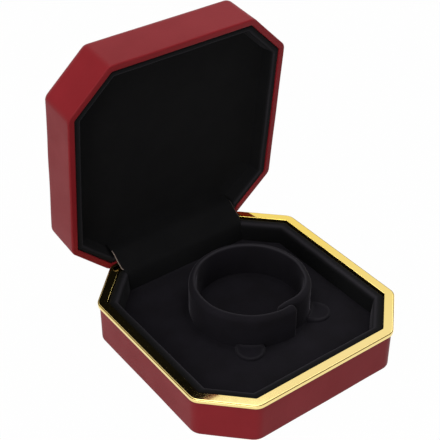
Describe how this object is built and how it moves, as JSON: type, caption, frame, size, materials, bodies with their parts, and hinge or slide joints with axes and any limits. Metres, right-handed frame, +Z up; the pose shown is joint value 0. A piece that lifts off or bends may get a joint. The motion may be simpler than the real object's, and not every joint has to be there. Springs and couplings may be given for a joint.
{
  "type": "bracelet display case",
  "caption": "Square clamshell case with cut corners, a bright rim, padded velvet inside and an upright split cuff that holds a bangle.",
  "frame": {"origin": "centre of the underside card's lower face, on the table", "axes": "+X along the hinge, +Y from the front to the hinge, +Z up; rest pose has the lid open"},
  "size_m": [0.1006, 0.1203, 0.1183],
  "materials": {
    "leather_red": "fine-grained red leathercloth, satin",
    "gold": "mirror-bright gold plating on moulded plastic",
    "velvet_black": "short-pile black velvet",
    "foam": "soft open-cell foam",
    "board": "grey board",
    "shell": "moulded black plastic, hidden",
    "steel": "plated spring steel",
    "flock_card": "black flocked card"
  },
  "bodies": {
    "base": {"base_shell": "shell", "base_leather": "leather_red", "base_underside_card": "flock_card", "gold_rim": "gold", "base_lining": "velvet_black", "base_pad_board": "board", "base_pad_foam": "foam", "base_pad_velvet": "velvet_black", "cuff_core": "shell", "cuff_velvet": "velvet_black", "cuff_tab_left": "velvet_black", "cuff_tab_right": "velvet_black", "hinge_base_leaf": "steel", "hinge_pin": "steel", "hinge_spring": "steel", "hinge_base_rivets": "steel", "hinge_flap": "velvet_black"},
    "lid": {"hinge_lid_leaf": "steel", "hinge_lid_rivets": "steel", "lid_shell": "shell", "lid_leather": "leather_red", "lid_lining": "velvet_black", "lid_pad_board": "board", "lid_pad_foam": "foam", "lid_pad_velvet": "velvet_black"}
  },
  "joints": [
    {"name": "lid_hinge", "type": "hinge", "parent": "base", "child": "lid", "pos_m": [0, 0.049, 0.0176], "axis": [1, 0, 0], "range_deg": [0, 83.5], "deforming": ["hinge_flap"]}
  ]
}
